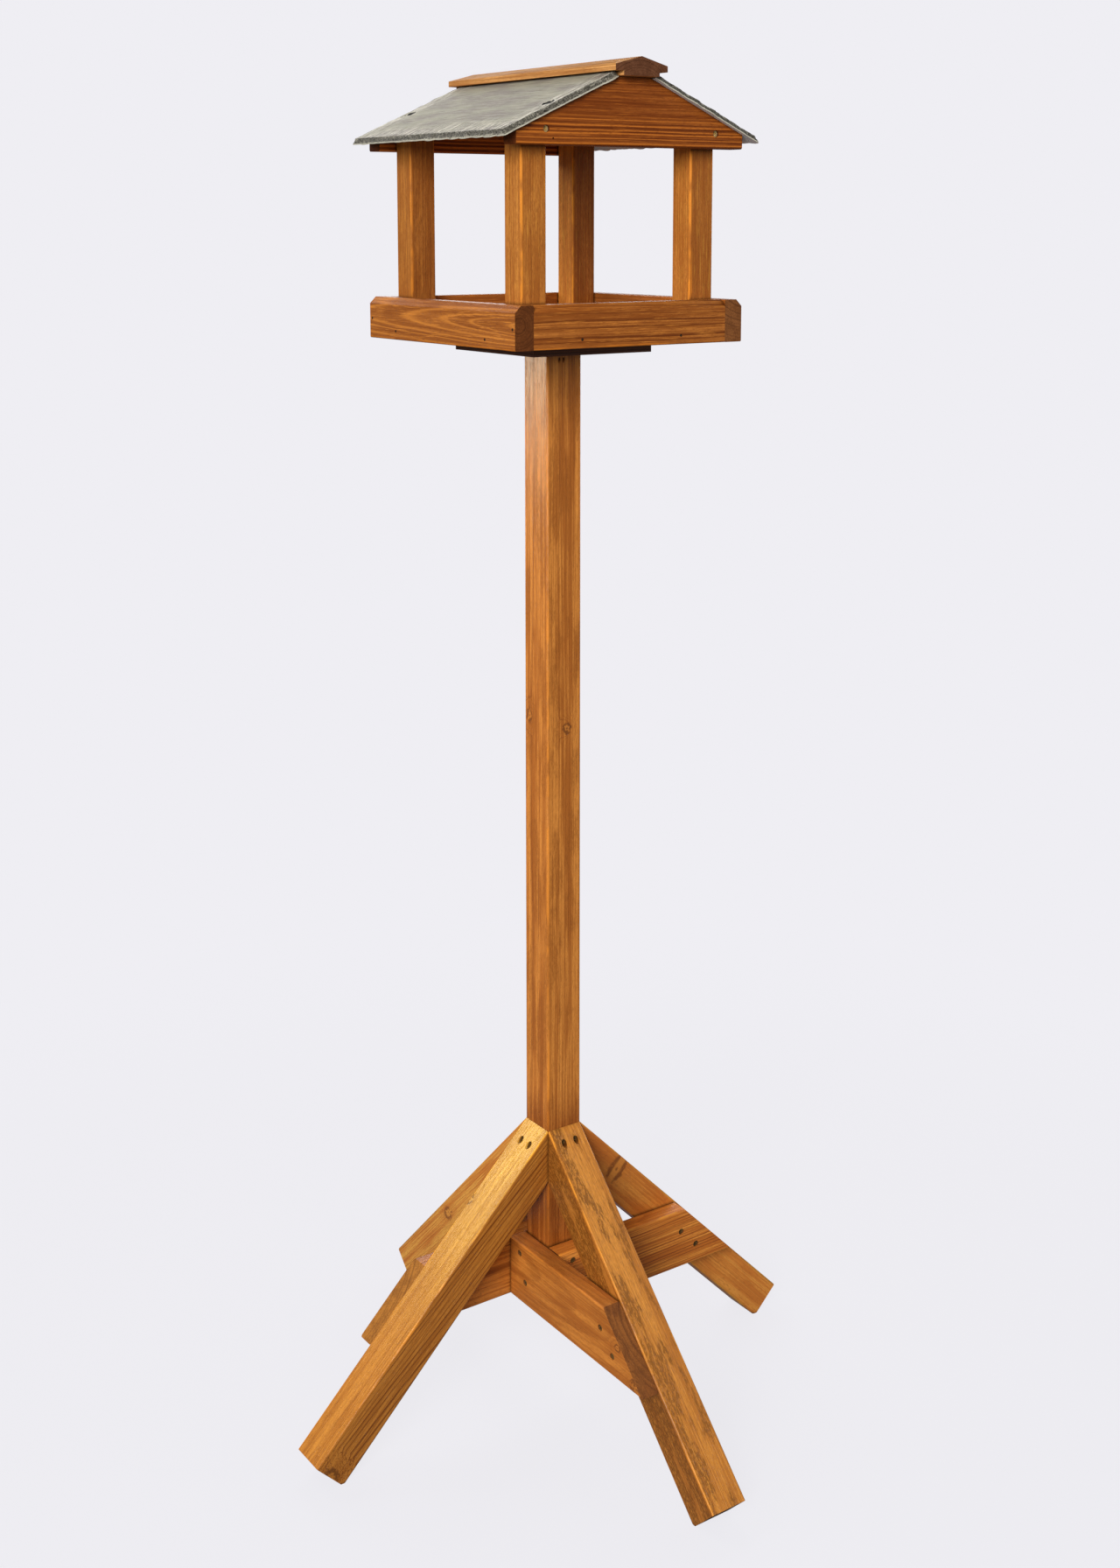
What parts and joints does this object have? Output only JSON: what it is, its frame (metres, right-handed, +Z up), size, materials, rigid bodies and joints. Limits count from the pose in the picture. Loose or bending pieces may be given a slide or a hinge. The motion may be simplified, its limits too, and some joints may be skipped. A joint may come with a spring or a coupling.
{
  "type": "bird feeder on pole",
  "caption": "Open wooden bird table with a slate pitched roof over a rimmed seed tray, on a square pole with splayed legs and horizontal braces.",
  "frame": {"origin": "on the ground plane, on the axis of the pole", "axes": "+Z up along the pole; -Y front and +Y back, the ways that the gables face; +X right and -X left, across the ridge; each leg points along one of the four horizontal axes"},
  "size_m": [0.6352, 0.6352, 1.4911],
  "materials": {
    "leg_wood": "satin",
    "pole_wood": "satin",
    "house_wood": "satin",
    "gable_wood": "satin",
    "plywood": "matte",
    "slate": "matte",
    "yellow_zinc": "satin",
    "nail_steel": "satin"
  },
  "bodies": {
    "root": {"pole": "pole_wood", "leg_front": "leg_wood", "leg_right": "leg_wood", "leg_back": "leg_wood", "leg_left": "leg_wood", "brace_front": "pole_wood", "brace_right": "pole_wood", "brace_back": "pole_wood", "brace_left": "pole_wood", "leg_screws": "yellow_zinc", "brace_pole_screws": "yellow_zinc", "brace_leg_screws": "yellow_zinc", "mounting_plate": "plywood", "pole_toe_nails": "nail_steel", "plate_screws": "yellow_zinc", "tray_floor": "house_wood", "rim_front": "house_wood", "rim_right": "house_wood", "rim_back": "house_wood", "rim_left": "house_wood", "rim_corner_nails": "nail_steel", "rim_floor_nails": "nail_steel", "post_front_left": "house_wood", "post_front_right": "house_wood", "post_back_left": "house_wood", "post_back_right": "house_wood", "post_screws": "yellow_zinc", "gable_front": "gable_wood", "gable_back": "gable_wood", "gable_screws": "yellow_zinc", "slate_left": "slate", "slate_right": "slate", "slate_screws": "yellow_zinc", "ridge_cap": "house_wood", "ridge_pins": "nail_steel"}
  },
  "joints": []
}
